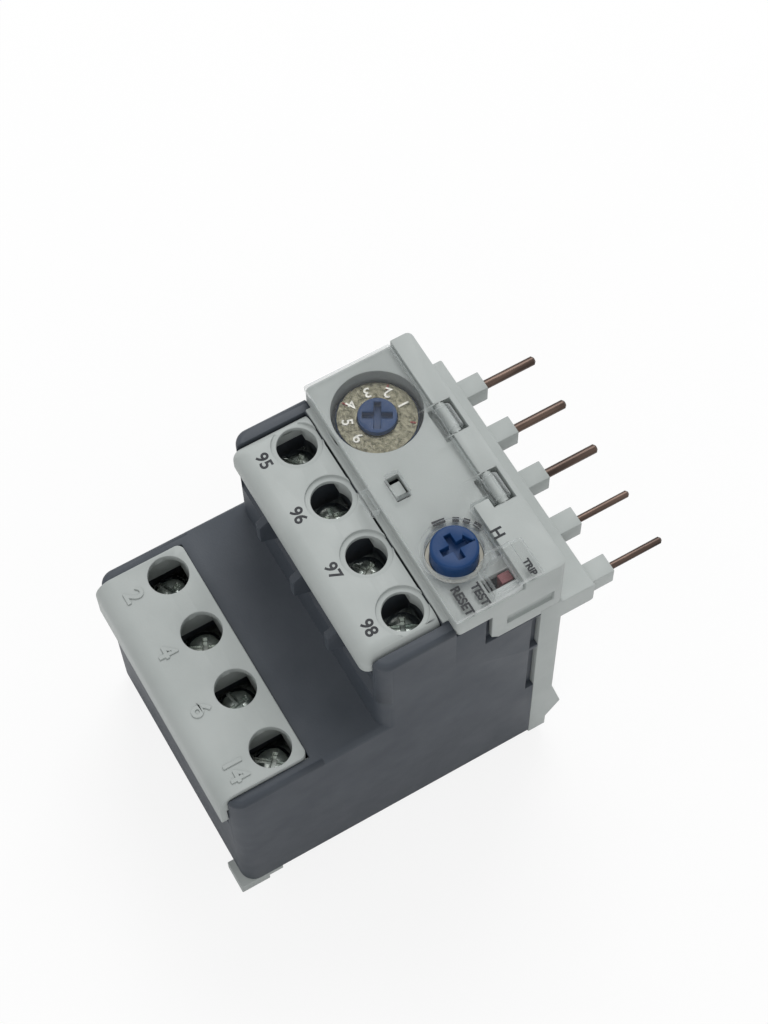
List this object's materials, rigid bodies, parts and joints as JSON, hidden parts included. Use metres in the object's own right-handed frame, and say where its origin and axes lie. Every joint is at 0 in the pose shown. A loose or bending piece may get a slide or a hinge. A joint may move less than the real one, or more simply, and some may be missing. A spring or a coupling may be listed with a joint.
{
  "type": "thermal overload relay",
  "caption": "Plug-in thermal overload relay with screw terminals, contact pins, hinged clear cover, setting dial and reset button.",
  "frame": {"origin": "under the middle of the bounding box, in the plane the feet stand on", "axes": "+Z out of the front face, +Y towards the contact pins, X across the case"},
  "size_m": [0.045, 0.0772, 0.0645],
  "materials": {
    "dark_plastic": "moulded, fine matt grain",
    "light_plastic": "moulded, fine matt grain",
    "clear_plastic": "clear polycarbonate",
    "blue_plastic": "moulded",
    "gold_foil": "embossed foil",
    "red_plastic": "moulded",
    "inner_plastic": "moulded",
    "steel": "zinc plated",
    "bimetal": "rolled strip",
    "heater_alloy": "rolled ribbon",
    "contact_metal": "stamped",
    "pin_copper": "dull copper"
  },
  "bodies": {
    "case": {"main_housing": "dark_plastic", "main_terminal_block": "dark_plastic", "aux_terminal_block": "dark_plastic", "lower_terminal_cover": "light_plastic", "upper_terminal_cover": "light_plastic", "front_housing": "light_plastic", "pin_side_frame": "light_plastic", "rear_base_plate": "light_plastic", "contact_pin_1": "pin_copper", "contact_pin_2": "pin_copper", "contact_pin_3": "pin_copper", "contact_pin_4": "pin_copper", "contact_pin_5": "pin_copper", "main_terminal_1": "contact_metal", "main_terminal_2": "contact_metal", "main_terminal_3": "contact_metal", "main_terminal_4": "contact_metal", "aux_terminal_1": "contact_metal", "aux_terminal_2": "contact_metal", "aux_terminal_3": "contact_metal", "aux_terminal_4": "contact_metal"},
    "cover": {"clear_cover": "clear_plastic"},
    "dial": {"setting_dial": "blue_plastic", "dial_scale_ring": "gold_foil"},
    "adjuster": {"adjusting_lever": "inner_plastic"},
    "selector": {"reset_sleeve": "inner_plastic"},
    "reset": {"reset_button": "blue_plastic", "reset_spring": "steel"},
    "test": {"test_slider": "dark_plastic"},
    "upper_bar": {"upper_shift_bar": "inner_plastic"},
    "balance": {"differential_lever": "inner_plastic"},
    "lower_bar": {"lower_shift_bar": "inner_plastic"},
    "bimetal_1": {"bimetal_strip_1": "bimetal", "heater_winding_1": "heater_alloy"},
    "bimetal_2": {"bimetal_strip_2": "bimetal", "heater_winding_2": "heater_alloy"},
    "bimetal_3": {"bimetal_strip_3": "bimetal", "heater_winding_3": "heater_alloy"},
    "trip": {"trip_lever": "inner_plastic", "compensating_bimetal": "bimetal"},
    "flag": {"trip_flag": "red_plastic"},
    "carrier": {"contact_carrier": "inner_plastic", "moving_contact_closed": "contact_metal", "moving_contact_open": "contact_metal"},
    "main_1_washer": {"main_clamp_1": "steel"},
    "main_1_fastener": {"main_screw_1": "steel"},
    "main_2_washer": {"main_clamp_2": "steel"},
    "main_2_fastener": {"main_screw_2": "steel"},
    "main_3_washer": {"main_clamp_3": "steel"},
    "main_3_fastener": {"main_screw_3": "steel"},
    "main_4_washer": {"main_clamp_4": "steel"},
    "main_4_fastener": {"main_screw_4": "steel"},
    "aux_1_washer": {"aux_clamp_1": "steel"},
    "aux_1_fastener": {"aux_screw_1": "steel"},
    "aux_2_washer": {"aux_clamp_2": "steel"},
    "aux_2_fastener": {"aux_screw_2": "steel"},
    "aux_3_washer": {"aux_clamp_3": "steel"},
    "aux_3_fastener": {"aux_screw_3": "steel"},
    "aux_4_washer": {"aux_clamp_4": "steel"},
    "aux_4_fastener": {"aux_screw_4": "steel"}
  },
  "joints": [
    {"name": "cover_hinge", "type": "hinge", "parent": "case", "child": "cover", "pos_m": [0, 0.01685, 0.062], "axis": [-1, 0, 0], "range_deg": [0, 100]},
    {"name": "dial_turn", "type": "hinge", "parent": "case", "child": "dial", "pos_m": [-0.0136, 0.0086, 0.059], "axis": [0, 0, 1], "range_deg": [-90, 90]},
    {"name": "adjuster_rock", "type": "hinge", "parent": "case", "child": "adjuster", "pos_m": [-0.011, 0.01225, 0.052], "axis": [0, 0, 1], "range_deg": [-9.5, 9.5]},
    {"name": "selector_turn", "type": "hinge", "parent": "case", "child": "selector", "pos_m": [0.0128, 0.00625, 0.06], "axis": [0, 0, 1], "range_deg": [0, 90]},
    {"name": "reset_push", "type": "slide", "parent": "selector", "child": "reset", "axis": [0, 0, -1], "range_m": [0, 0.002], "stiffness_N_per_m": 800, "deforming": ["reset_spring"]},
    {"name": "test_slide", "type": "slide", "parent": "case", "child": "test", "axis": [1, 0, 0], "range_m": [0, 0.0008], "stiffness_N_per_m": 300},
    {"name": "overload_shift", "type": "slide", "parent": "case", "child": "upper_bar", "axis": [1, 0, 0], "range_m": [0, 0.001], "stiffness_N_per_m": 200},
    {"name": "phase_loss_tilt", "type": "hinge", "parent": "upper_bar", "child": "balance", "pos_m": [0.0124, 0.0008, 0.033], "axis": [0, 0, 1], "range_deg": [-2.4, 0]},
    {"name": "lower_bar_lag", "type": "slide", "parent": "upper_bar", "child": "lower_bar", "axis": [1, 0, 0], "range_m": [-0.0004, 0]},
    {"name": "bimetal_bend_1", "type": "hinge", "parent": "case", "child": "bimetal_1", "pos_m": [-0.0165, -0.00385, 0.0097], "axis": [0, 1, 0], "range_deg": [0, 2.8]},
    {"name": "bimetal_bend_2", "type": "hinge", "parent": "case", "child": "bimetal_2", "pos_m": [-0.0055, -0.00385, 0.0097], "axis": [0, 1, 0], "range_deg": [0, 2.8]},
    {"name": "bimetal_bend_3", "type": "hinge", "parent": "case", "child": "bimetal_3", "pos_m": [0.0055, -0.00385, 0.0097], "axis": [0, 1, 0], "range_deg": [0, 2.8]},
    {"name": "trip_turn", "type": "hinge", "parent": "case", "child": "trip", "pos_m": [0.009, 0.00365, 0.042], "axis": [0, 0, 1], "range_deg": [-12, 0]},
    {"name": "flag_slide", "type": "slide", "parent": "case", "child": "flag", "axis": [0, 1, 0], "range_m": [-0.00215, 0]},
    {"name": "contact_travel", "type": "slide", "parent": "case", "child": "carrier", "axis": [0, 1, 0], "range_m": [0, 0.00085]},
    {"name": "main_1_lower", "type": "slide", "parent": "case", "child": "main_1_washer", "axis": [0, 0, 1], "range_m": [-0.003, 0]},
    {"name": "main_1_turn", "type": "hinge", "parent": "main_1_washer", "child": "main_1_fastener", "pos_m": [-0.0165, -0.0276, 0.029], "axis": [0, 0, 1], "range_deg": [-1804, 0]},
    {"name": "main_2_lower", "type": "slide", "parent": "case", "child": "main_2_washer", "axis": [0, 0, 1], "range_m": [-0.003, 0]},
    {"name": "main_2_turn", "type": "hinge", "parent": "main_2_washer", "child": "main_2_fastener", "pos_m": [-0.0055, -0.0276, 0.029], "axis": [0, 0, 1], "range_deg": [-1804, 0]},
    {"name": "main_3_lower", "type": "slide", "parent": "case", "child": "main_3_washer", "axis": [0, 0, 1], "range_m": [-0.003, 0]},
    {"name": "main_3_turn", "type": "hinge", "parent": "main_3_washer", "child": "main_3_fastener", "pos_m": [0.0055, -0.0276, 0.029], "axis": [0, 0, 1], "range_deg": [-1804, 0]},
    {"name": "main_4_lower", "type": "slide", "parent": "case", "child": "main_4_washer", "axis": [0, 0, 1], "range_m": [-0.003, 0]},
    {"name": "main_4_turn", "type": "hinge", "parent": "main_4_washer", "child": "main_4_fastener", "pos_m": [0.0165, -0.0276, 0.029], "axis": [0, 0, 1], "range_deg": [-1804, 0]},
    {"name": "aux_1_lower", "type": "slide", "parent": "case", "child": "aux_1_washer", "axis": [0, 0, 1], "range_m": [-0.002, 0]},
    {"name": "aux_1_turn", "type": "hinge", "parent": "aux_1_washer", "child": "aux_1_fastener", "pos_m": [-0.01566, -0.00405, 0.0515], "axis": [0, 0, 1], "range_deg": [-1444, 0]},
    {"name": "aux_2_lower", "type": "slide", "parent": "case", "child": "aux_2_washer", "axis": [0, 0, 1], "range_m": [-0.002, 0]},
    {"name": "aux_2_turn", "type": "hinge", "parent": "aux_2_washer", "child": "aux_2_fastener", "pos_m": [-0.00522, -0.00405, 0.0515], "axis": [0, 0, 1], "range_deg": [-1444, 0]},
    {"name": "aux_3_lower", "type": "slide", "parent": "case", "child": "aux_3_washer", "axis": [0, 0, 1], "range_m": [-0.002, 0]},
    {"name": "aux_3_turn", "type": "hinge", "parent": "aux_3_washer", "child": "aux_3_fastener", "pos_m": [0.00522, -0.00405, 0.0515], "axis": [0, 0, 1], "range_deg": [-1444, 0]},
    {"name": "aux_4_lower", "type": "slide", "parent": "case", "child": "aux_4_washer", "axis": [0, 0, 1], "range_m": [-0.002, 0]},
    {"name": "aux_4_turn", "type": "hinge", "parent": "aux_4_washer", "child": "aux_4_fastener", "pos_m": [0.01566, -0.00405, 0.0515], "axis": [0, 0, 1], "range_deg": [-1444, 0]}
  ],
  "couplings": [
    {"joint": "adjuster_rock", "follows": "dial_turn", "ratio": 0.1046},
    {"joint": "lower_bar_lag", "follows": "phase_loss_tilt", "m_per_rad": 0.0093},
    {"joint": "bimetal_bend_1", "follows": "overload_shift", "rad_per_m": 45.87},
    {"joint": "bimetal_bend_2", "follows": "overload_shift", "rad_per_m": 45.87},
    {"joint": "bimetal_bend_3", "follows": "overload_shift", "rad_per_m": 45.87},
    {"joint": "trip_turn", "follows": "overload_shift", "rad_per_m": -208},
    {"joint": "flag_slide", "follows": "overload_shift", "ratio": -2.1216},
    {"joint": "contact_travel", "follows": "overload_shift", "ratio": 0.8278},
    {"joint": "main_1_turn", "follows": "main_1_lower", "rad_per_m": 10472},
    {"joint": "main_2_turn", "follows": "main_2_lower", "rad_per_m": 10472},
    {"joint": "main_3_turn", "follows": "main_3_lower", "rad_per_m": 10472},
    {"joint": "main_4_turn", "follows": "main_4_lower", "rad_per_m": 10472},
    {"joint": "aux_1_turn", "follows": "aux_1_lower", "rad_per_m": 12566},
    {"joint": "aux_2_turn", "follows": "aux_2_lower", "rad_per_m": 12566},
    {"joint": "aux_3_turn", "follows": "aux_3_lower", "rad_per_m": 12566},
    {"joint": "aux_4_turn", "follows": "aux_4_lower", "rad_per_m": 12566}
  ]
}
